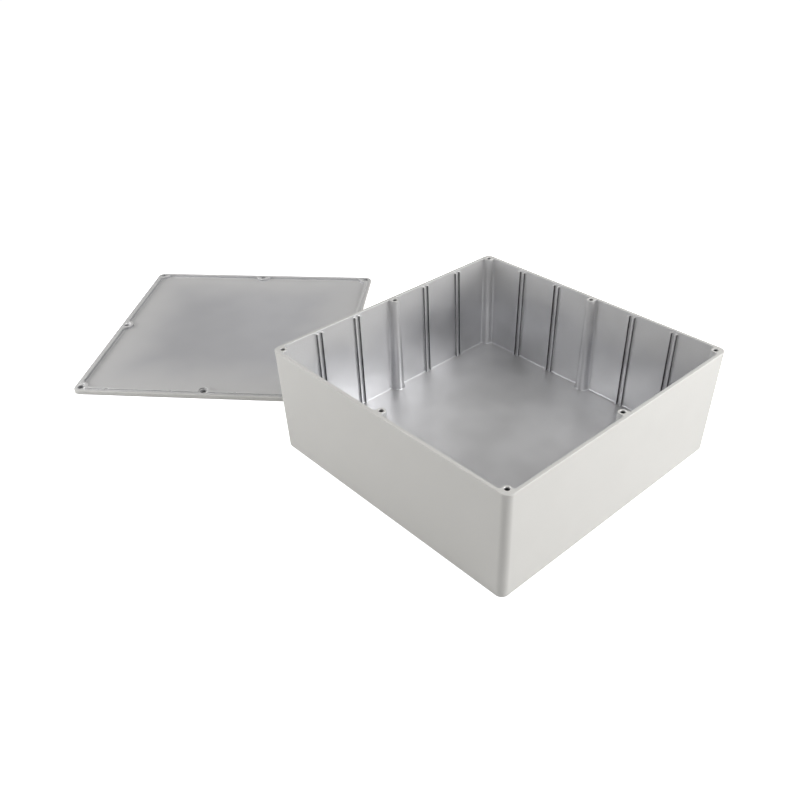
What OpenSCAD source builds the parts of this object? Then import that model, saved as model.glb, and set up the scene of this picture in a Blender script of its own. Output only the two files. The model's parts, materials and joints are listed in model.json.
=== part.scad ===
// Square diecast enclosure: an open box with eight screw bosses and card guide ribs,
// and its lid, taken off and laid beside it with the inner face up.
// Lengths are in millimetres. The origin is the middle of the box's underside.

/* [Box] */
// Outside length of the rim, along X
box_l = 188; // [130:1:300]
// Outside width of the rim, along Y
box_w = 188; // [130:1:300]
// Height of the box without its lid
box_h = 70; // [45:1:120]
// Thickness of the walls
wall_t = 2.2; // [1.8:0.1:3.5]
// Thickness of the floor
floor_t = 2.8; // [2:0.1:5]
// Draft of the walls, in degrees
wall_draft = 1.4; // [0.5:0.05:2]
// Radius of the upright outside corners
corner_r = 4.7; // [4:0.1:8]
// Radius of the outside edge around the underside
bottom_edge_r = 1; // [0.5:0.1:4]
// Radius of the fillet between floor and walls
floor_fillet = 1.4; // [0.5:0.1:4]

/* [Screw bosses] */
// Distance of the screw axes from the outside of the rim
screw_inset = 4.8; // [4:0.1:6]
// Diameter of a boss at the rim
boss_top_d = 5.5; // [5:0.1:8]
// Draft of the bosses, in degrees
boss_draft = 1.45; // [0.5:0.05:2.5]
// Radius of the fillet around the foot of a boss
boss_foot_fillet = 1.2; // [0.5:0.1:3]
// Radius of the fillets that blend a boss into its walls
boss_blend_r = 1.4; // [0.5:0.1:2]
// Diameter of the tapped holes in the bosses
tapped_d = 2.8; // [2:0.1:3.5]
// Depth of the tapped holes
tapped_depth = 14; // [6:1:25]

/* [Card guides] */
// Distance from one pair of guide ribs to the next
guide_pitch = 30; // [20:1:45]
// Width of the slot between the two ribs of a pair, at the wall
slot_w = 1.8; // [1.2:0.1:3]
// Width of a rib at the wall
rib_base_w = 1.8; // [1.2:0.1:3]
// Width of a rib at its crest
rib_crest_w = 1.3; // [0.6:0.1:1.9]
// Height of a rib above the wall
rib_h = 1.5; // [1:0.1:4]
// Distance from the rim down to the tops of the ribs
rib_drop = 1.6; // [1:0.1:10]

/* [Lid] */
// Thickness of the lid's flange
lid_t = 3.4; // [2.5:0.1:5]
// Thickness of the lid's panel, inside the locating ridge
panel_t = 2.4; // [1.8:0.1:4]
// Height of the locating ridge above the flange
ridge_h = 1.2; // [0.8:0.1:4]
// Width of the locating ridge
ridge_w = 2.2; // [1.2:0.1:4]
// Gap between the locating ridge and the inside of the box
ridge_gap = 0.2; // [0.1:0.05:0.5]
// Radius of the fillet between ridge and panel
ridge_fillet = 0.8; // [0.5:0.1:3]
// Chamfer around the outer face
lid_chamfer = 0.8; // [0.2:0.1:1.5]
// Diameter of the clearance holes for the screws
clearance_d = 4; // [3:0.1:4.5]
// Diameter of the countersinks
countersink_d = 7.4; // [5:0.1:8]

/* [Lid laid aside] */
// Distance of the lid's centre from the box's centre, along X
lid_x = -35; // [-60:1:0]
// Gap between the box and the nearest corner of the lid
lid_gap = 14; // [2:1:60]
// Turn of the lid about the upright axis, in degrees
lid_turn = 42; // [20:1:70]

/* [Hidden] */
$fn = 48;
hull_fn = 32;
// Overlap of solids that join, and overrun of solids that cut
lap = 1;
// Thickness of the slices that a hull spans between
slice = 0.01;
// The fillets of a boss run this far into boss and wall, so that the faces cross
blend_bite = 0.04;

inner_l = box_l - 2 * wall_t;
inner_w = box_w - 2 * wall_t;
inner_corner_r = max(corner_r - wall_t, 0.5);
inner_fillet = min(floor_fillet, inner_corner_r);
boss_foot_r = boss_r(floor_t + boss_foot_fillet);
guide_half = slot_w / 2 + rib_base_w;
ridge_span_l = inner_l - 2 * ridge_gap;
ridge_span_w = inner_w - 2 * ridge_gap;
ridge_corner_r = max(inner_corner_r - ridge_gap, 0.5);
notch_r = boss_top_d / 2 + ridge_gap;
notch_half = blend_reach(box_h - ridge_h, ridge_gap) + ridge_gap;
recess_r = max(inner_corner_r - ridge_gap - ridge_w, 0.5);
countersink_h = (countersink_d - clearance_d) / 2;
lid_reach = (box_l * sin(lid_turn) + box_w * cos(lid_turn)) / 2;
lid_y = box_w / 2 + lid_gap + lid_reach - lid_corner_cut();

// Places of the screws: the four corners, then the middles of the four sides
screw_x = box_l / 2 - screw_inset;
screw_y = box_w / 2 - screw_inset;
corner_screws = [for (sx = [-1, 1], sy = [-1, 1]) [sx * screw_x, sy * screw_y]];
side_screws = [[screw_x, 0], [0, screw_y], [-screw_x, 0], [0, -screw_y]];

// The four walls: turn about Z, distance of the rim's outside, length of the wall
WALLS = [
    [0, box_l / 2, box_w],
    [90, box_w / 2, box_l],
    [180, box_l / 2, box_w],
    [270, box_w / 2, box_l],
];

// Distance that a drafted wall has moved in at height z
function draft_at(z) = (box_h - z) * tan(wall_draft);

// Radius of a boss at height z
function boss_r(z) = boss_top_d / 2 + (box_h - z) * tan(boss_draft);

// Distance from the axis of a boss to the wall beside it, at height z
function wall_gap(z) = max(screw_inset - wall_t - draft_at(z), 0);

// Distance along the wall from the axis of a boss to the axis of its fillet, at height z
function blend_half(z) =
    sqrt(pow(boss_r(z) + boss_blend_r, 2) - pow(wall_gap(z) - boss_blend_r, 2));

// Distance along the wall from the axis of a boss to its fillet, at height z and this far off the wall
function blend_reach(z, off) =
    blend_half(z) - sqrt(pow(boss_blend_r, 2) - pow(boss_blend_r - off, 2));

// Where a fillet leaves its boss, as a distance from the boss's axis towards the wall
function blend_start(z) =
    boss_r(z) * (wall_gap(z) - boss_blend_r) / (boss_r(z) + boss_blend_r);

// A point on the axis of the fillet on side s of a boss, at height z
function blend_axis(z, s) =
    [wall_gap(z) - boss_blend_r + blend_bite, s * (blend_half(z) - blend_bite), z];

// How much the rounding of the lid's corners shortens its reach
function lid_corner_cut() = corner_r * (sin(lid_turn) + cos(lid_turn) - 1);

// Middles of the guide pairs along a wall, clear of the bosses
function guide_places(wall_len) =
    let (reach = wall_len / 2 - screw_inset - boss_r(0) - boss_foot_fillet - guide_half)
    [for (k = [1 : floor(reach / guide_pitch)], s = [-1, 1]) s * k * guide_pitch];

// A disc whose lower edge is rounded
module rounded_disc(r, edge) {
    rotate_extrude($fn = hull_fn)
        intersection() {
            translate([r - edge, edge])
                circle(edge);
            square([r, 2 * edge]);
        }
}

// A block with drafted walls and rounded corners; l and w are its sizes at the height of the rim
module drafted_block(l, w, z_low, z_high, r, edge) {
    high = [l / 2 - draft_at(z_high) - r, w / 2 - draft_at(z_high) - r];
    low = [l / 2 - draft_at(z_low) - r, w / 2 - draft_at(z_low) - r];
    hull()
        for (sx = [-1, 1], sy = [-1, 1]) {
            translate([sx * high[0], sy * high[1], z_high - slice])
                cylinder(r = r, h = slice, $fn = hull_fn);
            translate([sx * low[0], sy * low[1], z_low])
                rounded_disc(r, edge);
        }
}

// A tapered boss with a filleted foot, from inside the floor to above the rim
module boss() {
    z_low = floor_t - lap;
    z_high = box_h + lap;
    translate([0, 0, z_low])
        cylinder(r1 = boss_r(z_low), r2 = boss_r(z_high), h = z_high - z_low);
    translate([0, 0, floor_t])
        rotate_extrude()
            difference() {
                translate([0, -lap])
                    square([boss_foot_r + boss_foot_fillet, boss_foot_fillet + lap]);
                translate([boss_foot_r + boss_foot_fillet, boss_foot_fillet])
                    circle(boss_foot_fillet);
            }
}

// A round rod from one point to another
module rod(a, b, r) {
    way = b - a;
    translate(a)
        rotate([0, acos(way[2] / norm(way)), atan2(way[1], way[0])])
            cylinder(r = r, h = norm(way));
}

// The web that ties a boss to the wall on its +X side, with a fillet on each side of it in sides
module boss_web(sides) {
    z_low = floor_t - lap;
    z_high = box_h + lap;
    corners = [for (z = [z_low, z_high], c = [[0, -1], [1, -1], [1, 1], [0, 1]])
        [c[0] == 0 ? blend_start(z) : wall_gap(z) + wall_t / 2, c[1] * blend_half(z), z]];
    difference() {
        polyhedron(corners, [
            [0, 1, 2, 3], [7, 6, 5, 4],
            [0, 4, 5, 1], [1, 5, 6, 2], [2, 6, 7, 3], [3, 7, 4, 0],
        ]);
        for (s = sides)
            rod(blend_axis(z_low - lap, s), blend_axis(z_high + lap, s), boss_blend_r);
    }
}

// A guide rib on a wall whose face is the plane X = 0, standing towards -X
module guide_rib() {
    half_base = rib_base_w / 2;
    half_crest = rib_crest_w / 2;
    depth = wall_t / 2;
    length = (box_h - rib_drop - floor_t + lap) / cos(wall_draft);
    rotate([0, wall_draft, 0])
        translate([0, 0, -rib_drop - length])
            linear_extrude(length)
                polygon([
                    [depth, -half_base], [0, -half_base], [-rib_h, -half_crest],
                    [-rib_h, half_crest], [0, half_base], [depth, half_base],
                ]);
}

// The pairs of guide ribs of all four walls
module guide_ribs() {
    for (wall = WALLS, place = guide_places(wall[2]), s = [-1, 1])
        rotate(wall[0])
            translate([wall[1] - wall_t, place + s * (slot_w + rib_base_w) / 2, box_h])
                guide_rib();
}

// All eight bosses, each blended into the walls beside it
module bosses() {
    for (place = concat(corner_screws, side_screws))
        translate(place)
            boss();
    for (wall = WALLS, s = [-1, 0, 1])
        rotate(wall[0])
            translate([wall[1] - screw_inset, s * (wall[2] / 2 - screw_inset), 0])
                boss_web(s == 0 ? [-1, 1] : [-s]);
}

// The hollow of the box, with the bosses and ribs left standing in it
module hollow() {
    difference() {
        drafted_block(inner_l, inner_w, floor_t, box_h + lap, inner_corner_r, inner_fillet);
        bosses();
        guide_ribs();
    }
}

module box_body() {
    color("gainsboro")
        difference() {
            drafted_block(box_l, box_w, 0, box_h, corner_r, bottom_edge_r);
            hollow();
            for (place = concat(corner_screws, side_screws))
                translate([place[0], place[1], box_h - tapped_depth])
                    cylinder(d = tapped_d, h = tapped_depth + lap);
        }
}

// A plate with upright edges and rounded corners
module rounded_plate(l, w, h, r) {
    hull()
        for (sx = [-1, 1], sy = [-1, 1])
            translate([sx * (l / 2 - r), sy * (w / 2 - r), 0])
                cylinder(r = r, h = h, $fn = hull_fn);
}

// The lid's plate, with a chamfer around its outer face
module lid_plate() {
    hull()
        for (sx = [-1, 1], sy = [-1, 1])
            translate([sx * (box_l / 2 - corner_r), sy * (box_w / 2 - corner_r), 0]) {
                cylinder(r = corner_r - lid_chamfer, h = lid_t, $fn = hull_fn);
                translate([0, 0, lid_chamfer])
                    cylinder(r = corner_r, h = lid_t - lid_chamfer, $fn = hull_fn);
            }
}

// The shallow tray inside the locating ridge, with filleted edges
module lid_recess() {
    l = ridge_span_l - 2 * ridge_w;
    w = ridge_span_w - 2 * ridge_w;
    r = max(recess_r, ridge_fillet);
    top = lid_t + ridge_h + lap;
    hull()
        for (sx = [-1, 1], sy = [-1, 1])
            translate([sx * (l / 2 - r), sy * (w / 2 - r), panel_t]) {
                rounded_disc(r, ridge_fillet);
                translate([0, 0, ridge_fillet])
                    cylinder(r = r, h = top - panel_t - ridge_fillet, $fn = hull_fn);
            }
}

// A cylinder on every screw axis
module at_screws(r, z, h) {
    for (place = concat(corner_screws, side_screws))
        translate([place[0], place[1], z])
            cylinder(r = r, h = h);
}

// The straight part of the notch for a boss, running out to the wall on its +X side
module boss_notch() {
    translate([0, -notch_half, lid_t])
        cube([screw_inset, 2 * notch_half, ridge_h + lap]);
}

module lid() {
    color("silver")
        translate([lid_x, lid_y, 0])
            rotate(lid_turn)
                difference() {
                    union() {
                        lid_plate();
                        translate([0, 0, lid_t - lap])
                            rounded_plate(ridge_span_l, ridge_span_w, ridge_h + lap, ridge_corner_r);
                    }
                    difference() {
                        lid_recess();
                        at_screws(notch_r + ridge_w, 0, lid_t + ridge_h + 2 * lap);
                    }
                    at_screws(notch_r, lid_t, ridge_h + lap);
                    for (wall = WALLS, s = [-1, 0, 1])
                        rotate(wall[0])
                            translate([wall[1] - screw_inset, s * (wall[2] / 2 - screw_inset), 0])
                                boss_notch();
                    at_screws(clearance_d / 2, -lap, lid_t + 2 * lap);
                    for (place = concat(corner_screws, side_screws))
                        translate([place[0], place[1], 0])
                            cylinder(d1 = countersink_d, d2 = clearance_d, h = countersink_h);
                }
}

box_body();
lid();
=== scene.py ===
"""Studio scene of a square die cast enclosure: the open box and, beside it, its lid, inner face up."""
import json
import logging
import math
from dataclasses import dataclass, replace
from enum import Enum
from typing import Any, Iterable, Sequence

import bmesh
import bpy
from mathutils import Matrix, Vector


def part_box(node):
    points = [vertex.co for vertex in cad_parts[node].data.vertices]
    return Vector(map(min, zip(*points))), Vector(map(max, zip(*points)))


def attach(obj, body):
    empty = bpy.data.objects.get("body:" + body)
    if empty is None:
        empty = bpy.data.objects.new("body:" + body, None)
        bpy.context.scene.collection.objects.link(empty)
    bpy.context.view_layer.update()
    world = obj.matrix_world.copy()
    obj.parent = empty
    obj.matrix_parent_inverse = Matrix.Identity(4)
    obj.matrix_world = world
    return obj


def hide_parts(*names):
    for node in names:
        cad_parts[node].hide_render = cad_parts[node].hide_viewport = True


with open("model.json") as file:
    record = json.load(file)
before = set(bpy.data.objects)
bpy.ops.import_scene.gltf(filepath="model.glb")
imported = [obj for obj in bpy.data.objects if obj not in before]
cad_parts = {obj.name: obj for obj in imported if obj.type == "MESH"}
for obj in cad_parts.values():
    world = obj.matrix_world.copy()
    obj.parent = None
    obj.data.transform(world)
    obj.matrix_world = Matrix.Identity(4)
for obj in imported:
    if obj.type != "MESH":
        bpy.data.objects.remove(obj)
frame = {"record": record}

LOG = logging.getLogger("enclosure")
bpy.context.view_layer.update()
BODY = "root"
MM = 0.001
EDGE_STEPS, BEND_STEPS, FILLET_STEPS = 3, 6, 8

Point = tuple[float, float]
Colour = tuple[float, float, float]
Row = list[bmesh.types.BMVert]
Socket = bpy.types.NodeSocket


class Coat(Enum):
    """The coats of a casting, in the order of its material slots."""

    PAINT = 0
    BARE = 1
    # Painted shade: bare metal darkened on flanks and in screw holes, where shade falls.
    PAINTED_SHADE = 2


class SprayFrom(Enum):
    """The edge that paint has drifted in from: the rim of a box, or the outline of a plate."""

    RIM = "rim"
    OUTLINE = "outline"


def mount(name: str) -> dict[str, Any]:
    """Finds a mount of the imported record.

    Args:
        name: Name of the mount.

    Returns:
        The mount as the record states it.
    """
    return next(m for m in frame["record"]["mounts"] if m["name"] == name)


def arc(centre: Point, radius: float, start: float, end: float, steps: int) -> list[Point]:
    """Points along a circular arc, both ends included.

    Args:
        centre: Centre of the circle.
        radius: Radius of the circle.
        start: Angle of the first point, in radians.
        end: Angle of the last point, in radians.
        steps: Number of equal steps between them.

    Returns:
        The points in order.
    """
    angles = [start + (end - start) * i / steps for i in range(steps + 1)]
    return [(centre[0] + radius * math.cos(a), centre[1] + radius * math.sin(a)) for a in angles]


def bend(radius: float, steps: int) -> list[Point]:
    """A quarter round in equal steps.

    Args:
        radius: Its radius.
        steps: Number of steps.

    Returns:
        At each step, what is left to go one way and what has been gone the other way.
    """
    angles = [math.pi / 2 * i / steps for i in range(steps + 1)]
    return [(radius * (1 - math.sin(a)), radius * (1 - math.cos(a))) for a in angles]


def spin(point: Point, turns: int) -> Point:
    """A point turned about the origin by a number of quarter turns."""
    x, y = point
    for _ in range(turns % 4):
        x, y = -y, x
    return x, y


def rounded_rectangle(half_l: float, half_w: float, radius: float, steps: int = 12) -> list[Point]:
    """Outline of a rectangle with round corners, anticlockwise.

    Args:
        half_l: Half its length, along X.
        half_w: Half its width, along Y.
        radius: Radius of the corners.
        steps: Steps in each corner.

    Returns:
        The points in order.
    """
    points: list[Point] = []
    for turn, (sx, sy) in enumerate(((1, 1), (-1, 1), (-1, -1), (1, -1))):
        centre = (sx * (half_l - radius), sy * (half_w - radius))
        points += arc(centre, radius, turn * math.pi / 2, (turn + 1) * math.pi / 2, steps)
    return points


def rounded_corner(before: Point, corner: Point, after: Point, radius: float, steps: int) -> list[Point]:
    """Points of the arc that rounds a corner of an open line.

    Args:
        before: A point on the line that comes in.
        corner: The sharp corner.
        after: A point on the line that goes out.
        radius: Radius of the arc.
        steps: Steps along the arc.

    Returns:
        The points from one tangent to the other.
    """
    here, first, last = Vector(corner), Vector(before), Vector(after)
    way_in, way_out = (first - here).normalized(), (last - here).normalized()
    half = way_in.angle(way_out) / 2
    centre = here + (way_in + way_out).normalized() * (radius / math.sin(half))
    reach = radius / math.tan(half)
    a, b = here + way_in * reach - centre, here + way_out * reach - centre
    start = math.atan2(a.y, a.x)
    sweep = (math.atan2(b.y, b.x) - start + math.pi) % (2 * math.pi) - math.pi
    return arc((centre.x, centre.y), radius, start, start + sweep, steps)


@dataclass(frozen=True)
class PostedLine:
    """Plan of a closed line that follows four walls and swerves round the screw posts on them.

    Attributes:
        half_l: Half the outside length, along X.
        half_w: Half the outside width, along Y.
        post_inset: Distance of the post axes from the outside.
        bumps: Middles of the small bumps along each of the four walls.
        bump: Plan of one bump: places along the wall, each with its share of the bump's rise.
        steep: Share of the rise that a stretch climbs where it counts as a flank.
        fillet_steps: Steps in each fillet beside a post.
        nose_steps: Steps round each post.
    """

    half_l: float
    half_w: float
    post_inset: float
    bumps: tuple[tuple[float, ...], ...] = ((), (), (), ())
    bump: tuple[Point, ...] = ()
    steep: float = 0.3
    fillet_steps: int = 6
    nose_steps: int = 14

    def loop(self, offset: float, post_r: float, fillet: float, rise: float = 0.0) -> list[Point]:
        """The whole line, anticlockwise.

        Args:
            offset: Distance of the line from the outside.
            post_r: Radius of the line round a post.
            fillet: Radius where the line leaves a wall for a post.
            rise: Height of the bumps.

        Returns:
            The points in order, always as many.
        """
        points: list[Point] = []
        for turn in range(4):
            away, half = (self.half_l, self.half_w) if turn % 2 == 0 else (self.half_w, self.half_l)
            side = self._side(half, offset, post_r, fillet, rise, self.bumps[turn])
            points += [spin((away - inward, along), turn) for along, inward in side]
        return points

    def flanks(self, offset: float, post_r: float, fillet: float) -> frozenset[int]:
        """Places in the line where it climbs or leaves a bump.

        Args:
            offset: Distance of the line from the outside.
            post_r: Radius of the line round a post.
            fillet: Radius where the line leaves a wall for a post.

        Returns:
            Indexes of the points that such a stretch starts at.
        """
        low, high = (self.loop(offset, post_r, fillet, rise) for rise in (0.0, 1.0))
        climb = [math.dist(a, b) for a, b in zip(low, high)]
        following = climb[1:] + climb[:1]
        return frozenset(i for i, (a, b) in enumerate(zip(climb, following)) if abs(b - a) > self.steep)

    def _side(
        self, half: float, offset: float, post_r: float, fillet: float, rise: float, bumps: Iterable[float]
    ) -> list[Point]:
        """One wall's share of the line, up to and with the post at its end.

        Args:
            half: Half the wall's length.
            offset: Distance of the line from the outside.
            post_r: Radius of the line round a post.
            fillet: Radius where the line leaves the wall for a post.
            rise: Height of the bumps.
            bumps: Middles of the bumps along the wall.

        Returns:
            Pairs of the place along the wall and the distance inward.
        """
        depth = self.post_inset - offset
        swing = math.sqrt((post_r + fillet) ** 2 - (fillet - depth) ** 2)
        lean = math.atan2(depth - fillet, swing)
        arrive = arc((-swing, fillet - depth), fillet, -math.pi / 2, lean, self.fillet_steps)
        nose = arc((0.0, 0.0), post_r, math.pi + lean, -lean, self.nose_steps)[1:-1]
        bend = arc((0.0, 0.0), post_r, math.pi + lean, math.pi / 2 - lean, self.nose_steps)[1:-1]
        middle = arrive + nose + [(-u, v) for u, v in reversed(arrive)]
        corner = arrive + bend + [(-v, -u) for u, v in reversed(arrive)]
        ribs = [(place, [(place + u, offset + v * rise) for u, v in self.bump]) for place in sorted(bumps)]
        line = [p for place, points in ribs if place < 0 for p in points]
        line += [(u, v + self.post_inset) for u, v in middle]
        line += [p for place, points in ribs if place > 0 for p in points]
        line += [(u + half - self.post_inset, v + self.post_inset) for u, v in corner]
        return line


class Draft:
    """A mesh in the making, drawn as level rows of points and the skins between them."""

    SHARP = math.radians(38)

    def __init__(self) -> None:
        """Starts an empty mesh."""
        self.bm = bmesh.new()

    def row(self, plan: Sequence[Point], z: float) -> Row:
        """Adds a closed row of points at one height.

        Args:
            plan: The row's plan.
            z: Its height.

        Returns:
            The new vertices.
        """
        return [self.bm.verts.new((x, y, z)) for x, y in plan]

    def skin(self, rows: Sequence[Row], coat: Coat, flanks: frozenset[int] = frozenset()) -> None:
        """Joins neighbouring rows of equal length with four-sided faces.

        Args:
            rows: The rows in order.
            coat: Coat of the faces.
            flanks: Places along the rows whose faces are flanks, which take the painted shade coat instead.
        """
        for low, high in zip(rows, rows[1:]):
            for i, start in enumerate(low):
                j = (i + 1) % len(low)
                self._face((start, low[j], high[j], high[i]), Coat.PAINTED_SHADE if i in flanks else coat)

    def cap(self, row: Row, coat: Coat) -> None:
        """Closes a row with one flat face."""
        self._face(row, coat)

    def tip(self, row: Row, z: float, coat: Coat) -> None:
        """Closes a round row with a cone.

        Args:
            row: The round row.
            z: Height of the cone's point, above or below the row's middle.
            coat: Coat of the faces.
        """
        middle = sum((v.co for v in row), Vector()) / len(row)
        point = self.bm.verts.new((middle.x, middle.y, z))
        for i, start in enumerate(row):
            self._face((start, row[(i + 1) % len(row)], point), coat)

    def sheet(self, rows: Sequence[Row], coat: Coat) -> None:
        """Fills the flat region between an outline and the lines inside it.

        Args:
            rows: The outline and every line that the region stops at, all at one height.
            coat: Coat of the faces.
        """
        edges = [self._edge(row[i], row[(i + 1) % len(row)]) for row in rows for i in range(len(row))]
        made = bmesh.ops.triangle_fill(self.bm, use_beauty=True, edges=edges, normal=(0, 0, 1))
        for item in made["geom"]:
            if isinstance(item, bmesh.types.BMFace):
                item.material_index = coat.value

    def piece(self, name: str, coats: Sequence[bpy.types.Material]) -> bpy.types.Object:
        """Turns the draft into an object of the scene.

        Args:
            name: Name of the piece.
            coats: Materials in the order of Coat.

        Returns:
            The new object.
        """
        bmesh.ops.recalc_face_normals(self.bm, faces=self.bm.faces)
        for face in self.bm.faces:
            face.smooth = True
        for edge in self.bm.edges:
            edge.smooth = edge.calc_face_angle(0.0) < self.SHARP
        mesh = bpy.data.meshes.new(name)
        self.bm.to_mesh(mesh)
        self.bm.free()
        for coat in coats:
            mesh.materials.append(coat)
        piece = bpy.data.objects.new(name, mesh)
        bpy.context.scene.collection.objects.link(piece)
        flat = piece.modifiers.new("flat_faces", "WEIGHTED_NORMAL")
        flat.keep_sharp = True
        return piece

    def _face(self, corners: Sequence[bmesh.types.BMVert], coat: Coat) -> None:
        """Adds one face with its coat."""
        self.bm.faces.new(corners).material_index = coat.value

    def _edge(self, a: bmesh.types.BMVert, b: bmesh.types.BMVert) -> bmesh.types.BMEdge:
        """The edge between two vertices, made if it isn't there."""
        return self.bm.edges.get((a, b)) or self.bm.edges.new((a, b))


class Graph:
    """A hand on a node tree that adds, sets and links nodes in one call."""

    def __init__(self, tree: bpy.types.NodeTree) -> None:
        """Takes hold of a node tree."""
        self.tree = tree

    def add(self, kind: str, feeds: dict[str | int, Any] | None = None, **traits: Any) -> bpy.types.Node:
        """Adds a node.

        Args:
            kind: Blender's name for the kind of node.
            feeds: What goes into its sockets: a value, or the socket of another node.
            **traits: Settings of the node itself.

        Returns:
            The new node.
        """
        node = self.tree.nodes.new(kind)
        for trait, value in traits.items():
            setattr(node, trait, value)
        for key, value in (feeds or {}).items():
            self.feed(node.inputs[key], value)
        return node

    def feed(self, socket: Socket, value: Any) -> None:
        """Links a socket to another, or sets its value."""
        if isinstance(value, bpy.types.NodeSocket):
            self.tree.links.new(value, socket)
        else:
            socket.default_value = value

    def math(self, operation: str, *values: Any) -> Socket:
        """The result of a math node."""
        return self.add("ShaderNodeMath", dict(enumerate(values)), operation=operation).outputs[0]

    def span(self, value: Socket, low: float, high: float, start: float = 0.0, end: float = 1.0) -> Socket:
        """A value carried smoothly from one range to another.

        Args:
            value: The value to carry over.
            low: Result at the start of its range.
            high: Result at the end of its range.
            start: Start of the value's range.
            end: End of the value's range.

        Returns:
            The result.
        """
        feeds = {"Value": value, "From Min": start, "From Max": end, "To Min": low, "To Max": high}
        return self.add("ShaderNodeMapRange", feeds, interpolation_type="SMOOTHSTEP").outputs["Result"]

    def mix(self, share: Any, first: Any, second: Any) -> Socket:
        """A colour between two colours.

        Args:
            share: Share of the second colour.
            first: First colour, as a socket or a Colour.
            second: Second colour, as a socket or a Colour.

        Returns:
            The mixed colour.
        """
        node = self.add("ShaderNodeMix", {0: share}, data_type="RGBA")
        for index, colour in ((6, first), (7, second)):
            value = colour if isinstance(colour, bpy.types.NodeSocket) else (*colour, 1.0)
            self.feed(node.inputs[index], value)
        return node.outputs[2]

    def noise(self, where: Socket, size: Any, detail: float) -> Socket:
        """Soft noise between 0 and 1.

        Args:
            where: Coordinates, in metres.
            size: Size of its blotches, in metres.
            detail: Number of finer layers.

        Returns:
            The noise.
        """
        scale = self.math("DIVIDE", 1.0, size) if isinstance(size, bpy.types.NodeSocket) else 1.0 / size
        feeds = {"Vector": where, "Scale": scale, "Detail": detail}
        return self.add("ShaderNodeTexNoise", feeds).outputs["Fac"]

    def emboss(self, height: Socket, strength: float, depth: float) -> Socket:
        """Normals of a surface with a fine relief.

        Args:
            height: The relief, between 0 and about 1.
            strength: How much of it shows.
            depth: Its depth, in metres.

        Returns:
            The normals.
        """
        feeds = {"Strength": strength, "Distance": depth, "Height": height}
        return self.add("ShaderNodeBump", feeds).outputs["Normal"]


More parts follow.
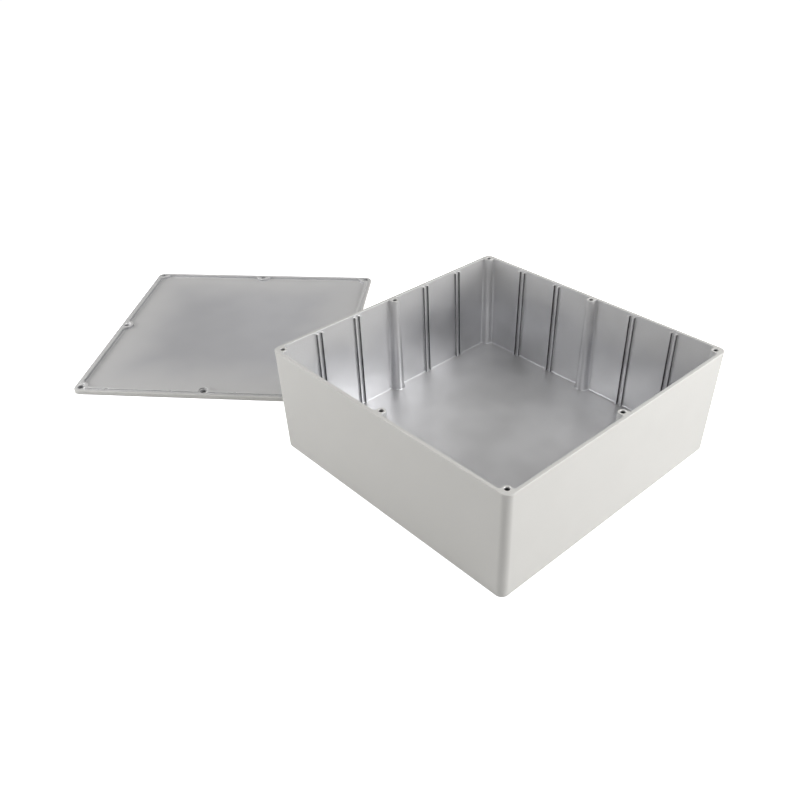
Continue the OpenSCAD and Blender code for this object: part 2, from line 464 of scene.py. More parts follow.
class SharedEffects:
    """Node groups for what more than one finish shows: cast grain, paint drift and small pits.

    Attributes:
        BULK: Range that most of a noise lies in.
        CLOUD: Size of the clouds that the edge of drifted paint sways with.
        CLOUD_BULK: Range of those clouds.
        DROPLET: Size of the droplets.
        SPECKLE: Least and greatest density of the droplets.
        PIT_CORE: Share of a pit's radius that is fully dark.
    """

    BULK = (0.3, 0.7)
    CLOUD = 26 * MM
    CLOUD_BULK = (0.25, 0.75)
    DROPLET = 0.45 * MM
    SPECKLE = (0.72, 1.28)
    PIT_CORE = 0.4

    def __init__(self) -> None:
        """Builds each group once."""
        self.grain = self._cast_grain()
        self.drift = self._paint_drift()
        self.pits = self._pits()

    def cast(
        self, graph: Graph, where: Socket, grain: float, flow: float, flow_share: float
    ) -> tuple[Socket, Socket]:
        """Places the cast grain in a material.

        Args:
            graph: The material's graph.
            where: Coordinates on the piece.
            grain: Size of the grain.
            flow: Size of the flow marks.
            flow_share: Their share in the height.

        Returns:
            The height and the tone.
        """
        feeds = {"Where": where, "Grain Size": grain, "Flow Size": flow, "Flow Share": flow_share}
        node = graph.add("ShaderNodeGroup", feeds, node_tree=self.grain)
        return node.outputs["Height"], node.outputs["Tone"]

    @staticmethod
    def _group(
        name: str, inputs: dict[str, str], outputs: Sequence[str]
    ) -> tuple[Graph, dict[str, Socket], bpy.types.Node]:
        """Starts a node group.

        Args:
            name: Name of the group.
            inputs: Kinds of its input sockets by name.
            outputs: Names of its outputs, all plain values.

        Returns:
            The group's graph, its inputs by name, and its output node.
        """
        tree = bpy.data.node_groups.new(name, "ShaderNodeTree")
        for label, kind in inputs.items():
            tree.interface.new_socket(name=label, in_out="INPUT", socket_type="NodeSocket" + kind)
        for label in outputs:
            tree.interface.new_socket(name=label, in_out="OUTPUT", socket_type="NodeSocketFloat")
        graph = Graph(tree)
        given = graph.add("NodeGroupInput")
        return graph, {label: given.outputs[label] for label in inputs}, graph.add("NodeGroupOutput")

    def _cast_grain(self) -> bpy.types.NodeTree:
        """Fine grain over wide, soft flow marks.

        Returns:
            A group with a height for bump, and a tone for colour and roughness.
        """
        wanted = {"Where": "Vector", "Grain Size": "Float", "Flow Size": "Float", "Flow Share": "Float"}
        graph, given, out = self._group("cast_grain", wanted, ("Height", "Tone"))
        fine = graph.noise(given["Where"], given["Grain Size"], detail=3.0)
        flow = graph.noise(given["Where"], given["Flow Size"], detail=1.0)
        weighed = graph.math("MULTIPLY", flow, given["Flow Share"])
        graph.feed(out.inputs["Height"], graph.math("ADD", fine, weighed))
        graph.feed(out.inputs["Tone"], graph.span(flow, 0.0, 1.0, *self.BULK))
        return graph.tree

    def _paint_drift(self) -> bpy.types.NodeTree:
        """Paint that has drifted over an edge and thins out in fine droplets.

        Returns:
            A group with a mask of the paint.
        """
        wanted = {"Where": "Vector"} | dict.fromkeys(("Distance", "Reach", "Ragged", "Cover"), "Float")
        graph, given, out = self._group("paint_drift", wanted, ("Mask",))
        cloud = graph.noise(given["Where"], self.CLOUD, detail=2.0)
        sway = graph.math("MULTIPLY", graph.span(cloud, -1.0, 1.0, *self.CLOUD_BULK), given["Ragged"])
        reach = graph.math("MULTIPLY", graph.math("ADD", sway, 1.0), given["Reach"])
        share = graph.math("DIVIDE", given["Distance"], reach)
        veil = graph.span(share, 1.0, 0.0)
        drops = graph.noise(given["Where"], self.DROPLET, detail=1.0)
        speckle = graph.span(drops, *self.SPECKLE, *self.BULK)
        covered = graph.math("MULTIPLY", graph.math("MULTIPLY", veil, speckle), given["Cover"])
        graph.feed(out.inputs["Mask"], graph.math("MINIMUM", covered, 1.0))
        return graph.tree

    def _pits(self) -> bpy.types.NodeTree:
        """Rare small pits and specks.

        Returns:
            A group with a mask of the specks.
        """
        wanted = {"Where": "Vector", "Spacing": "Float", "Radius": "Float"}
        graph, given, out = self._group("cast_pits", wanted, ("Mask",))
        scale = graph.math("DIVIDE", 1.0, given["Spacing"])
        feeds = {"Vector": given["Where"], "Scale": scale, "Randomness": 1.0}
        cells = graph.add("ShaderNodeTexVoronoi", feeds)
        radius = graph.math("DIVIDE", given["Radius"], given["Spacing"])
        near = graph.math("DIVIDE", cells.outputs["Distance"], radius)
        graph.feed(out.inputs["Mask"], graph.span(near, 1.0, 0.0, self.PIT_CORE, 1.0))
        return graph.tree


@dataclass(frozen=True)
class SprayPaint:
    """A coat of satin paint sprayed on cast metal.

    Attributes:
        colour: Colour where the coat is thick.
        thin_colour: Colour where the coat is thin.
        roughness: Roughness of the dried coat.
        thin_rough: How much rougher the thin coat is.
        thick_smooth: How much smoother the thick coat is.
        peel: Size of the orange peel.
        bump: Strength of the orange peel.
        relief: Depth of the orange peel.
        flow: Size of the thick and thin patches.
        flow_share: Their share in the relief.
        pit_gap: Distance between pits.
        pit_r: Radius of a pit.
        pit_shade: Brightness of a pit, as a share of the thin coat's.
        pit_show: How much of that shade shows.
    """

    colour: Colour
    thin_colour: Colour
    roughness: float
    thin_rough: float = 0.05
    thick_smooth: float = 0.04
    peel: float = 0.9 * MM
    bump: float = 0.10
    relief: float = 0.05 * MM
    flow: float = 34 * MM
    flow_share: float = 0.2
    pit_gap: float = 22 * MM
    pit_r: float = 0.22 * MM
    pit_shade: float = 0.55
    pit_show: float = 0.35

    def material(self, name: str, effects: SharedEffects) -> bpy.types.Material:
        """Makes the material.

        Args:
            name: Its name.
            effects: The shared node groups.

        Returns:
            The material.
        """
        made, graph, where = blank_material(name)
        height, tone = effects.cast(graph, where, self.peel, self.flow, self.flow_share)
        feeds = {"Where": where, "Spacing": self.pit_gap, "Radius": self.pit_r}
        pits = graph.add("ShaderNodeGroup", feeds, node_tree=effects.pits)
        coat = graph.mix(tone, self.thin_colour, self.colour)
        dark = tuple(self.pit_shade * c for c in self.thin_colour)
        speck = graph.math("MULTIPLY", pits.outputs["Mask"], self.pit_show)
        shader = graph.tree.nodes["Principled BSDF"]
        graph.feed(shader.inputs["Base Color"], graph.mix(speck, coat, dark))
        satin = graph.span(tone, self.roughness + self.thin_rough, self.roughness - self.thick_smooth)
        graph.feed(shader.inputs["Roughness"], satin)
        graph.feed(shader.inputs["Normal"], graph.emboss(height, self.bump, self.relief))
        return made


@dataclass(frozen=True)
class BareCasting:
    """Bare cast metal that paint has drifted over from an edge.

    Attributes:
        colour: Colour of clean metal.
        dull_colour: Colour of its duller flow marks.
        roughness: Roughness of the smoothest metal.
        spray: The edge that the paint came in from.
        reach: How far the paint drifted.
        ragged: How much that reach sways from place to place, as a share of it.
        cover: How dense it is at the edge.
        dust: How dense the paint dust is that settled on faces that look up.
        edge: Height of the rim, or half the width of the plate, that distances are taken from.
        paint: The paint that drifted.
        grain: Size of the metal's grain.
        flow: Size of the flow marks.
        flow_share: Their share in the relief.
        bump: Strength of the relief.
        relief: Depth of the relief.
        dull_rough: How much rougher the flow marks are.
        chalk: How much rougher drifted paint is than a whole coat.
        steep: Upward share of a face's normal where dust begins to settle.
    """

    colour: Colour
    dull_colour: Colour
    roughness: float
    spray: SprayFrom
    reach: float
    ragged: float
    cover: float
    dust: float
    edge: float
    paint: SprayPaint
    grain: float = 0.6 * MM
    flow: float = 28 * MM
    flow_share: float = 0.3
    bump: float = 0.10
    relief: float = 0.05 * MM
    dull_rough: float = 0.03
    chalk: float = 0.08
    steep: float = 0.5

    def unsprayed_with_painted_shade(self, shade: float, roughness: float) -> "BareCasting":
        """The same metal darkened as painted shade, for flanks and holes where shade falls, with no paint
        drift and its own roughness.

        Args:
            shade: Brightness of the painted shade, as a share of the clean metal's.
            roughness: Its roughness.

        Returns:
            The finish of the flank.
        """
        # Painted shade: both metal colours are darkened by the shade share.
        colour, dull = (tuple(shade * c for c in each) for each in (self.colour, self.dull_colour))
        return replace(self, colour=colour, dull_colour=dull, roughness=roughness, cover=0.0, dust=0.0)

    def material(self, name: str, effects: SharedEffects) -> bpy.types.Material:
        """Makes the material.

        Args:
            name: Its name.
            effects: The shared node groups.

        Returns:
            The material.
        """
        made, graph, where = blank_material(name)
        height, tone = effects.cast(graph, where, self.grain, self.flow, self.flow_share)
        feeds = {
            "Where": where,
            "Distance": self._distance(graph, where),
            "Reach": self.reach,
            "Ragged": self.ragged,
            "Cover": self.cover,
        }
        drift = graph.add("ShaderNodeGroup", feeds, node_tree=effects.drift)
        facing = graph.add("ShaderNodeTexCoord").outputs["Normal"]
        level = graph.add("ShaderNodeSeparateXYZ", {0: facing}).outputs["Z"]
        settled = graph.span(level, 0.0, self.dust, self.steep, 1.0)
        mask = graph.math("MAXIMUM", drift.outputs["Mask"], settled)
        metal = graph.mix(tone, self.dull_colour, self.colour)
        shader = graph.tree.nodes["Principled BSDF"]
        graph.feed(shader.inputs["Base Color"], graph.mix(mask, metal, self.paint.colour))
        graph.feed(shader.inputs["Metallic"], graph.math("SUBTRACT", 1.0, mask))
        satin = graph.span(tone, self.roughness + self.dull_rough, self.roughness)
        chalky = graph.math("MULTIPLY", mask, self.paint.roughness - self.roughness + self.chalk)
        graph.feed(shader.inputs["Roughness"], graph.math("ADD", satin, chalky))
        graph.feed(shader.inputs["Normal"], graph.emboss(height, self.bump, self.relief))
        return made

    def _distance(self, graph: Graph, where: Socket) -> Socket:
        """Distance from the edge that the paint came in from.

        Args:
            graph: The material's graph.
            where: Coordinates on the piece.

        Returns:
            The distance, in metres.
        """
        axes = graph.add("ShaderNodeSeparateXYZ", {0: where}).outputs
        if self.spray is SprayFrom.RIM:
            return graph.math("SUBTRACT", self.edge, axes["Z"])
        far = graph.math("MAXIMUM", graph.math("ABSOLUTE", axes["X"]), graph.math("ABSOLUTE", axes["Y"]))
        return graph.math("SUBTRACT", self.edge, far)


def blank_material(name: str) -> tuple[bpy.types.Material, Graph, Socket]:
    """Starts a material with a plain shader.

    Args:
        name: Name of the material.

    Returns:
        The material, its graph, and coordinates on the piece in metres.
    """
    made = bpy.data.materials.new(name)
    made.use_nodes = True
    graph = Graph(made.node_tree)
    return made, graph, graph.add("ShaderNodeTexCoord").outputs["Object"]


GREY_PAINT = SprayPaint(colour=(0.655, 0.646, 0.620), thin_colour=(0.645, 0.636, 0.610), roughness=0.46)


@dataclass
class BoxCasting:
    """The open box, cast in one piece with its screw posts and card guides."""

    half_l: float
    half_w: float
    height: float
    post_inset: float
    hole_r: float
    wall_t: float = 2.2 * MM
    floor_t: float = 2.8 * MM
    wall_draft: float = math.radians(1.4)
    corner_r: float = 4.7 * MM
    bottom_edge_r: float = 1.0 * MM
    floor_fillet: float = 1.0 * MM
    rim_round: float = 0.45 * MM
    rim_inner_round: float = 0.2 * MM
    post_top_r: float = 2.75 * MM
    post_draft: float = math.radians(1.45)
    post_fillet: float = 1.4 * MM
    post_foot_fillet: float = 1.0 * MM
    hole_depth: float = 14 * MM
    hole_lead: float = 0.2 * MM
    # Depth of plain metal at the top of a screw bore; deeper down the bore is painted shade.
    hole_shade_depth: float = 0.9 * MM
    guide_pitch: float = 30 * MM
    guide_pairs: int = 2
    slot_w: float = 1.8 * MM
    rib_base_w: float = 1.8 * MM
    rib_crest_w: float = 1.3 * MM
    rib_h: float = 1.5 * MM
    rib_drop: float = 1.6 * MM
    rib_round: float = 0.2 * MM
    rib_steps: int = 4

    @classmethod
    def from_frame(cls) -> "BoxCasting":
        """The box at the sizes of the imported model."""
        low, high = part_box("box_body")
        holes = mount("rim_side_holes")["dims"]
        half_l = (high.x - low.x) / 2
        return cls(
            half_l=half_l,
            half_w=(high.y - low.y) / 2,
            height=high.z,
            post_inset=half_l - holes["pcd_mm"] * MM / 2,
            hole_r=holes["hole_r_mm"] * MM,
        )

    def dress(self, effects: SharedEffects) -> list[bpy.types.Material]:
        """The coats that dress the box, in the order of Coat."""
        metal = BareCasting(
            colour=(0.762, 0.764, 0.782),
            dull_colour=(0.665, 0.667, 0.683),
            roughness=0.285,
            spray=SprayFrom.RIM,
            reach=40 * MM,
            ragged=0.35,
            cover=0.48,
            dust=0.32,
            edge=self.height,
            paint=GREY_PAINT,
        )
        return [
            GREY_PAINT.material("box_paint", effects),
            metal.material("box_bare_metal", effects),
            # Painted shade: metal at 0.35 brightness for the rib flanks and the screw bores.
            metal.unsprayed_with_painted_shade(0.35, 0.385).material("box_painted_shade", effects),
        ]

    def build(self, effects: SharedEffects) -> bpy.types.Object:
        """Builds and dresses the box.

        Args:
            effects: The shared node groups.

        Returns:
            The finished piece.
        """
        draft = Draft()
        line = PostedLine(self.half_l, self.half_w, self.post_inset, self._rib_places(), self._rib_plan())
        ribbed, plain = self._inside(draft, line)
        outside = self._outside(draft)
        # The rib flanks take the painted shade coat.
        draft.skin(ribbed, Coat.BARE, line.flanks(self.wall_t, self.post_top_r, self.post_fillet))
        draft.skin([ribbed[-1], *plain], Coat.BARE)
        draft.cap(ribbed[0], Coat.BARE)
        draft.skin(outside, Coat.PAINT)
        draft.cap(outside[-1], Coat.PAINT)
        places = screw_places(self.half_l, self.half_w, self.post_inset)
        mouths = [self._screw_hole(draft, place) for place in places]
        draft.sheet([outside[0], plain[-1], *mouths], Coat.PAINT)
        piece = draft.piece("open_box", self.dress(effects))
        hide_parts("box_body")
        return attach(piece, BODY)

    def _inside(self, draft: Draft, line: PostedLine) -> tuple[list[Row], list[Row]]:
        """Rows of the inner face, from the floor to the rim.

        Args:
            draft: The mesh in the making.
            line: The line that the inner face follows.

        Returns:
            The rows with ribs, from the floor up, and the rows above them.
        """
        rib_top = self.height - self.rib_drop
        foot = bend(self.floor_fillet, FILLET_STEPS)
        crest = bend(self.rib_round, EDGE_STEPS)
        lip = bend(self.rim_inner_round, EDGE_STEPS)
        ribbed = [(self.floor_t + gone, left, self.rib_h) for left, gone in foot]
        ribbed += [(rib_top - left, 0.0, self.rib_h - gone) for left, gone in crest]
        plain = [(rib_top + gone, 0.0, left) for left, gone in crest]
        plain += [(self.height - left, -gone, 0.0) for left, gone in lip]
        low, high = ([draft.row(self._inner_plan(line, *level), level[0]) for level in part]
                     for part in (ribbed, plain))
        return low, high

    def _inner_plan(self, line: PostedLine, z: float, grow: float, rise: float) -> list[Point]:
        """Plan of the inner face at one height.

        Args:
            line: The line that the inner face follows.
            z: The height.
            grow: Extra thickness of the walls, as in the fillet at their foot.
            rise: Height of the ribs above a wall without that fillet.

        Returns:
            The plan's points.
        """
        drop = self.height - z
        up = max(self.post_foot_fillet - (z - self.floor_t), 0.0)
        post_grow = self.post_foot_fillet - math.sqrt(self.post_foot_fillet**2 - up**2)
        return line.loop(
            offset=self.wall_t + drop * math.tan(self.wall_draft) + grow,
            post_r=self.post_top_r + drop * math.tan(self.post_draft) + post_grow + min(grow, 0.0),
            fillet=self.post_fillet,
            rise=max(rise - max(grow, 0.0), 0.0),
        )

    def _rib_places(self) -> tuple[tuple[float, ...], ...]:
        """Middles of the guide ribs along each wall."""
        pairs = [sign * k * self.guide_pitch for k in range(1, self.guide_pairs + 1) for sign in (-1, 1)]
        half_gap = (self.slot_w + self.rib_base_w) / 2
        places = tuple(pair + side * half_gap for pair in pairs for side in (-1, 1))
        return (places,) * 4

    def _rib_plan(self) -> tuple[Point, ...]:
        """Plan of one rib, with rounded corners, as places along the wall and shares of its height."""
        foot, crest = self.rib_base_w / 2, self.rib_crest_w / 2
        wall = (-2 * foot, 0.0)
        base, top = (-foot, 0.0), (-crest, self.rib_h)
        half = rounded_corner(wall, base, top, self.rib_round, self.rib_steps)
        half += rounded_corner(base, top, (crest, self.rib_h), self.rib_round, self.rib_steps)
        half = [(u, v / self.rib_h) for u, v in half]
        return (*half, *((-u, v) for u, v in reversed(half)))

    def _outside(self, draft: Draft) -> list[Row]:
        """Rows of the outer face, from the rim down to the underside.

        Args:
            draft: The mesh in the making.

        Returns:
            The rows in order.
        """
        levels = [(self.height - gone, left) for left, gone in bend(self.rim_round, BEND_STEPS)]
        levels += bend(self.bottom_edge_r, FILLET_STEPS)
        rows = []
        for z, inset in levels:
            slope = (self.height - z) * math.tan(self.wall_draft) + inset
            plan = rounded_rectangle(self.half_l - slope, self.half_w - slope, self.corner_r - inset)
            rows.append(draft.row(plan, z))
        return rows

    def _screw_hole(self, draft: Draft, place: Point) -> Row:
        """A blind screw hole with a countersunk mouth and a pointed end.

        Args:
            draft: The mesh in the making.
            place: The hole's axis.

        Returns:
            The row around its mouth.
        """
        levels = [
            (self.height, self.hole_r + self.hole_lead),
            (self.height - self.hole_lead, self.hole_r),
            (self.height - self.hole_shade_depth, self.hole_r),
            (self.height - self.hole_depth, self.hole_r),
        ]
        rows = [draft.row(circle(place, r), z) for z, r in levels]
        draft.skin(rows[:3], Coat.BARE)
        # Deeper down, the bore and its point take the painted shade coat.
        draft.skin(rows[2:], Coat.PAINTED_SHADE)
        draft.tip(rows[-1], self.height - self.hole_depth - self.hole_r / 2, Coat.PAINTED_SHADE)
        return rows[0]


@dataclass
class LidCasting:
    """The lid: a flat plate with a ridge on its inner face that locates it in the box."""

    half_l: float
    half_w: float
    thickness: float
    place: Point
    post_inset: float
    hole_r: float
    turn: float = math.radians(42)
    wall_t: float = 2.2 * MM
    corner_r: float = 4.7 * MM
    panel_t: float = 2.4 * MM
    ridge_w: float = 2.2 * MM
    ridge_h: float = 1.2 * MM
    ridge_gap: float = 0.2 * MM
    ridge_fillet: float = 0.8 * MM
    ridge_round: float = 0.3 * MM
    ridge_ease: float = 0.6
    nick_places: tuple[float, ...] = (-69 * MM, -23 * MM, 23 * MM, 69 * MM)
    nick_half: float = 1.2 * MM
    nick_depth: float = 0.5 * MM
    post_top_r: float = 2.75 * MM
    post_fillet: float = 1.4 * MM
    edge_round: float = 0.5 * MM
    chamfer: float = 0.8 * MM
    sink_r: float = 3.7 * MM
    hole_lead: float = 0.2 * MM

    @classmethod
    def from_frame(cls, box: BoxCasting) -> "LidCasting":
        """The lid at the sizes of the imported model, and with the outline of its box."""
        holes = mount("lid_side_holes")
        x, y, top = holes["pos_m"]
        return cls(
            half_l=box.half_l,
            half_w=box.half_w,
            thickness=top,
            place=(x, y),
            post_inset=box.post_inset,
            hole_r=holes["dims"]["hole_r_mm"] * MM,
        )

    def dress(self, effects: SharedEffects) -> list[bpy.types.Material]:
        """The coats that dress the lid, in the order of Coat."""
        metal = BareCasting(
            colour=(0.72, 0.72, 0.735),
            dull_colour=(0.70, 0.70, 0.715),
            roughness=0.46,
            spray=SprayFrom.OUTLINE,
            reach=60 * MM,
            ragged=0.15,
            cover=0.55,
            dust=0.0,
            edge=self.half_l,
            paint=GREY_PAINT,
        )
        return [
            GREY_PAINT.material("lid_paint", effects),
            metal.material("lid_bare_metal", effects),
            # Painted shade: metal at 0.75 brightness for the ridge flanks and the screw holes.
            metal.unsprayed_with_painted_shade(0.75, 0.80).material("lid_painted_shade", effects),
        ]

    def build(self, effects: SharedEffects) -> bpy.types.Object:
        """Builds and dresses the lid.

        Args:
            effects: The shared node groups.

        Returns:
            The finished piece.
        """
        draft = Draft()
        ridge, coats = self._ridge(draft)
        outline = self._outline(draft)
        for low, high, coat in zip(ridge, ridge[1:], coats):
            draft.skin([low, high], coat)
        draft.cap(ridge[-1], Coat.BARE)
        draft.skin(outline, Coat.PAINT)
        places = screw_places(self.half_l, self.half_w, self.post_inset)
        holes = [self._screw_hole(draft, place) for place in places]
        draft.sheet([outline[0], ridge[0], *(hole[0] for hole in holes)], Coat.BARE)
        draft.sheet([outline[-1], *(hole[-1] for hole in holes)], Coat.PAINT)
        piece = draft.piece("laid_lid", self.dress(effects))
        piece.matrix_world = Matrix.Translation((*self.place, 0.0)) @ Matrix.Rotation(self.turn, 4, "Z")
        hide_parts("lid")
        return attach(piece, BODY)

    def _ridge(self, draft: Draft) -> tuple[list[Row], list[Coat]]:
        """Rows of the locating ridge, from the flange over its crest to the panel.

        Args:
            draft: The mesh in the making.

        Returns:
            The rows in order, and the coats of the skins between them.
        """
        angles = [math.pi * i / FILLET_STEPS for i in range(FILLET_STEPS + 1)]
        nick = tuple((-self.nick_half * math.cos(a), math.sin(a)) for a in angles)
        line = PostedLine(self.half_l, self.half_w, self.post_inset, ((), (), self.nick_places, ()), nick)
        outer, notch = self.wall_t + self.ridge_gap, self.post_top_r + self.ridge_gap
        top, deep = self.thickness + self.ridge_h, self.nick_depth
        small, large = bend(self.ridge_round, EDGE_STEPS), bend(self.ridge_fillet, BEND_STEPS)
        levels = [(self.thickness + gone, -left, deep) for left, gone in small]
        levels += [(top - left, gone, deep) for left, gone in small]
        levels += [(top - gone, self.ridge_w - left, 0.0) for left, gone in small]
        levels += [(self.panel_t + left, self.ridge_w + gone, 0.0) for left, gone in large]
        rows = []
        for z, grow, nicked in levels:
            blend = self.post_fillet - self.ridge_gap + self.ridge_ease * max(grow, 0.0)
            rows.append(draft.row(line.loop(outer + grow, notch + grow, blend, nicked), z))
        half = BEND_STEPS // 2
        # The ridge's outer flank, its inner flank and the upper half of its inner fillet take the painted
        # shade coat.
        coats = [Coat.BARE] * EDGE_STEPS + [Coat.PAINTED_SHADE] + [Coat.BARE] * (2 * EDGE_STEPS + 1)
        coats += [Coat.PAINTED_SHADE] * (half + 1) + [Coat.BARE] * half
        return rows, coats

    def _outline(self, draft: Draft) -> list[Row]:
        """Rows of the lid's edge, from the flange down to the outer face.

        Args:
            draft: The mesh in the making.

        Returns:
            The rows in order.
        """
        levels = [(self.thickness - gone, left) for left, gone in bend(self.edge_round, EDGE_STEPS)]
        levels += [(self.chamfer, 0.0), (0.0, self.chamfer)]
        return [
            draft.row(rounded_rectangle(self.half_l - inset, self.half_w - inset, self.corner_r - inset), z)
            for z, inset in levels
        ]

    def _screw_hole(self, draft: Draft, place: Point) -> list[Row]:
        """A through hole, countersunk from the outer face.

        Args:
            draft: The mesh in the making.
            place: The hole's axis.

        Returns:
            Its rows, from the flange to the outer face.
        """
        levels = [
            (self.thickness, self.hole_r + self.hole_lead),
            (self.thickness - self.hole_lead, self.hole_r),
            (self.sink_r - self.hole_r, self.hole_r),
            (0.0, self.sink_r),
        ]
        rows = [draft.row(circle(place, r), z) for z, r in levels]
        # The whole hole takes the painted shade coat.
        draft.skin(rows, Coat.PAINTED_SHADE)
        return rows


def circle(centre: Point, radius: float, steps: int = 32) -> list[Point]:
    """Points round a circle, anticlockwise."""
    return arc(centre, radius, 0.0, 2 * math.pi, steps)[:-1]


def screw_places(half_l: float, half_w: float, inset: float) -> list[Point]:
    """Places of the eight screws: the corners and the middles of the sides.

    Args:
        half_l: Half the outside length, along X.
        half_w: Half the outside width, along Y.
        inset: Distance of the screws from the outside.

    Returns:
        The places.
    """
    x, y = half_l - inset, half_w - inset
    return [(i * x, j * y) for i in (-1, 0, 1) for j in (-1, 0, 1) if (i, j) != (0, 0)]


@dataclass(frozen=True)
class Softbox:
    """A large square studio light that stands round the set and faces its middle.

    Attributes:
        name: Its name.
        azimuth: Direction that it stands in, in degrees from +X towards +Y.
        elevation: Its height above the horizon, in degrees.
        glow: Brightness of its face, where 1 is paper white.
        far: Its distance from the set's middle.
        side: Length of its sides.
        aim: The set's middle.
    """

    name: str
    azimuth: float
    elevation: float
    glow: float
    far: float = 0.9
    side: float = 0.6
    aim: tuple[float, float, float] = (0.0, 0.0, 0.03)

    def build(self) -> bpy.types.Object:
        """Adds the light to the scene."""
        a, e = math.radians(self.azimuth), math.radians(self.elevation)
        back = Vector((math.cos(a) * math.cos(e), math.sin(a) * math.cos(e), math.sin(e)))
        lamp = bpy.data.lights.new(self.name, "AREA")
        lamp.shape = "SQUARE"
        lamp.size = self.side
        lamp.energy = self.glow * math.pi * self.side**2
        light = bpy.data.objects.new(self.name, lamp)
        light.location = Vector(self.aim) + back * self.far
        light.rotation_euler = back.to_track_quat("Z", "Y").to_euler()
        light.visible_camera = False
        bpy.context.scene.collection.objects.link(light)
        return light


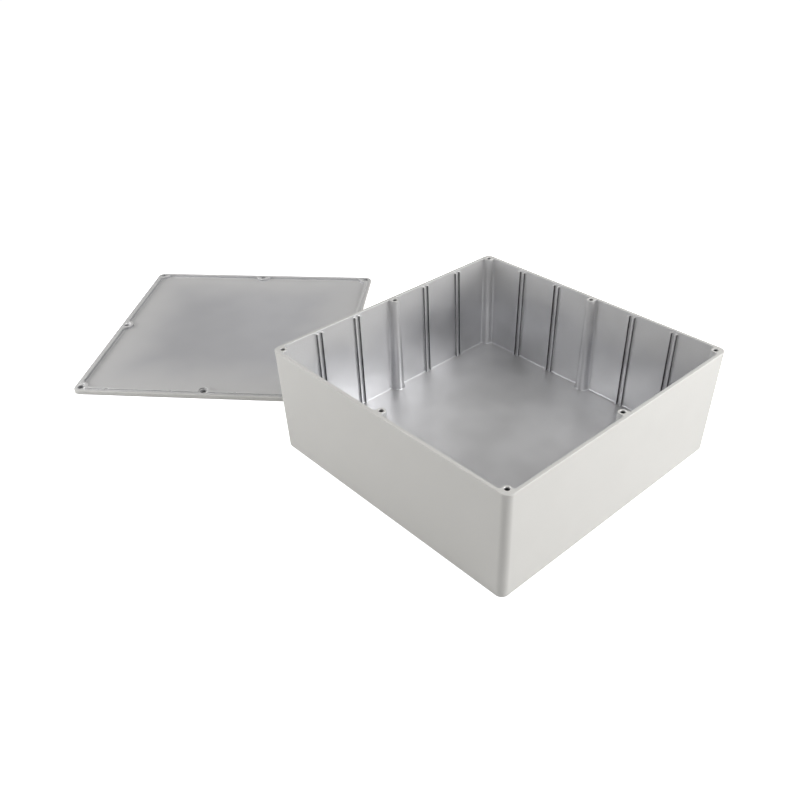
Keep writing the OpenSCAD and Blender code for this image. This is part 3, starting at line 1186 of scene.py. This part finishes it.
@dataclass(frozen=True)
class Studio:
    """A white floor, even surrounding light, softboxes and the camera.

    Attributes:
        azimuth: Direction that the camera stands in, in degrees from -Y towards +X.
        elevation: Its height above the horizon, in degrees.
        roll: Its turn about its own axis, in degrees.
        distance: Its distance from the origin along its axis.
        shift_right: Its sideways offset from that axis.
        shift_down: Its downward offset from that axis.
        focal: Focal length, in pixels of an image that is image_side pixels wide.
        lid: The lid on the floor, beneath which the floor's glow is dimmed as a painted shadow.
    """

    lid: LidCasting
    azimuth: float = -40.9
    elevation: float = 34.0
    roll: float = 2.0
    distance: float = 541.0 * MM
    shift_right: float = -58.3 * MM
    shift_down: float = -28.5 * MM
    focal: float = 857.0
    image_side: float = 800.0
    sensor: float = 36.0
    floor_half: float = 8.0
    floor_drop: float = 0.2 * MM
    floor_colour: Colour = (0.95, 0.95, 0.95)
    floor_bounce: Colour = (0.50, 0.50, 0.50)
    floor_rough: float = 0.9
    floor_gloss: float = 0.1
    floor_glow: float = 1.0
    painted_shadow_glow: float = 0.18
    surround: float = 0.02

    def build(self) -> None:
        """Builds the whole studio."""
        self._floor()
        self._surround()
        boxes = (
            Softbox("left", 120, 12, 1.2, far=0.72, side=0.46),
            Softbox("left_middle", 140, 12, 2.7, far=0.72, side=0.46),
            Softbox("left_edge", 160, 12, 1.7),
            Softbox("right_edge", 300, 12, 5.8),
            Softbox("right", 340, 12, 0.95),
            Softbox("behind", 80, 12, 0.4),
            Softbox("back", 50, 35, 0.58),
            Softbox("front", 220, 35, 0.9),
            Softbox("right_high", 280, 35, 1.2),
            Softbox("right_back", 340, 35, 0.45),
            Softbox("top_right", 300, 60, 2.0),
            Softbox("fillet_left", 345, 54, 3.5, side=0.25),
            Softbox("fillet_right", 108, 48, 3.5, side=0.25),
        )
        for box in boxes:
            box.build()
        self._camera()

    def _floor(self) -> None:
        """A wide, pale, plain floor, with a painted shadow beneath the lid."""
        half = self.floor_half
        corners = [(-half, -half), (half, -half), (half, half), (-half, half)]
        mesh = bpy.data.meshes.new("studio_floor")
        mesh.from_pydata([(x, y, -self.floor_drop) for x, y in corners], [], [(0, 1, 2, 3)])
        floor = bpy.data.objects.new("studio_floor", mesh)
        made = bpy.data.materials.new("studio_floor")
        made.use_nodes = True
        shader = made.node_tree.nodes["Principled BSDF"]
        graph = Graph(made.node_tree)
        seen = graph.add("ShaderNodeLightPath").outputs["Is Camera Ray"]
        graph.feed(shader.inputs["Base Color"], graph.mix(seen, self.floor_bounce, self.floor_colour))
        # Painted shadow: beneath the lid the floor's glow drops to a low level.
        glow = graph.span(self._open_floor(graph), self.painted_shadow_glow, self.floor_glow)
        glow = graph.math("MULTIPLY", seen, glow)
        graph.feed(shader.inputs["Emission Strength"], glow)
        shader.inputs["Emission Color"].default_value = (1.0, 1.0, 1.0, 1.0)
        shader.inputs["Roughness"].default_value = self.floor_rough
        shader.inputs["Specular IOR Level"].default_value = self.floor_gloss
        mesh.materials.append(made)
        bpy.context.scene.collection.objects.link(floor)

    def _open_floor(self, graph: Graph) -> Socket:
        """A mask of the floor that is 1 all over, but 0 beneath the lid, where the painted shadow lies.

        Args:
            graph: The floor's graph.

        Returns:
            The mask.
        """
        where = graph.add("ShaderNodeTexCoord").outputs["Object"]
        middle = (*self.lid.place, 0.0)
        feeds = {"Vector": where, "Center": middle, "Angle": -self.lid.turn}
        turned = graph.add("ShaderNodeVectorRotate", feeds, rotation_type="Z_AXIS").outputs[0]
        axes = graph.add("ShaderNodeSeparateXYZ", {0: turned}).outputs
        aside = [graph.math("ABSOLUTE", graph.math("SUBTRACT", axes[i], middle[i])) for i in range(2)]
        return graph.math("GREATER_THAN", graph.math("MAXIMUM", *aside), self.lid.half_l - self.lid.chamfer)

    def _surround(self) -> None:
        """Even light from all round, which the camera itself sees as white."""
        world = bpy.data.worlds.new("studio")
        world.use_nodes = True
        graph = Graph(world.node_tree)
        light = graph.tree.nodes["Background"]
        light.inputs["Color"].default_value = (1.0, 1.0, 1.0, 1.0)
        light.inputs["Strength"].default_value = self.surround
        paper = graph.add("ShaderNodeBackground", {"Color": (1.0, 1.0, 1.0, 1.0), "Strength": 1.0})
        seen = graph.add("ShaderNodeLightPath").outputs["Is Camera Ray"]
        both = graph.add("ShaderNodeMixShader", {0: seen, 1: light.outputs[0], 2: paper.outputs[0]})
        graph.feed(graph.tree.nodes["World Output"].inputs["Surface"], both.outputs[0])
        scene = bpy.context.scene
        scene.world = world
        scene.view_settings.view_transform = "Standard"

    def _camera(self) -> None:
        """The camera at the photograph's place and angle."""
        a, e, r = (math.radians(angle) for angle in (self.azimuth, self.elevation, self.roll))
        back = Vector((math.sin(a) * math.cos(e), -math.cos(a) * math.cos(e), math.sin(e)))
        right = (-back).cross(Vector((0, 0, 1))).normalized()
        down = (-back).cross(right)
        across = math.cos(r) * right + math.sin(r) * down
        below = math.cos(r) * down - math.sin(r) * right
        data = bpy.data.cameras.new("camera")
        data.sensor_width = self.sensor
        data.lens = self.focal * self.sensor / self.image_side
        camera = bpy.data.objects.new("camera", data)
        stand = back * self.distance + across * self.shift_right + below * self.shift_down
        axes = Matrix((across, -below, back)).transposed().to_4x4()
        camera.matrix_world = Matrix.Translation(stand) @ axes
        bpy.context.scene.collection.objects.link(camera)
        bpy.context.scene.camera = camera


def main() -> None:
    """Builds the studio, then the castings in order, and reports each piece."""
    logging.basicConfig(level=logging.INFO, format="%(message)s")
    box = BoxCasting.from_frame()
    lid = LidCasting.from_frame(box)
    Studio(lid).build()
    effects = SharedEffects()
    for casting in (box, lid):
        piece = casting.build(effects)
        LOG.info("%s: %d faces", piece.name, len(piece.data.polygons))


if __name__ == "__main__":
    main()
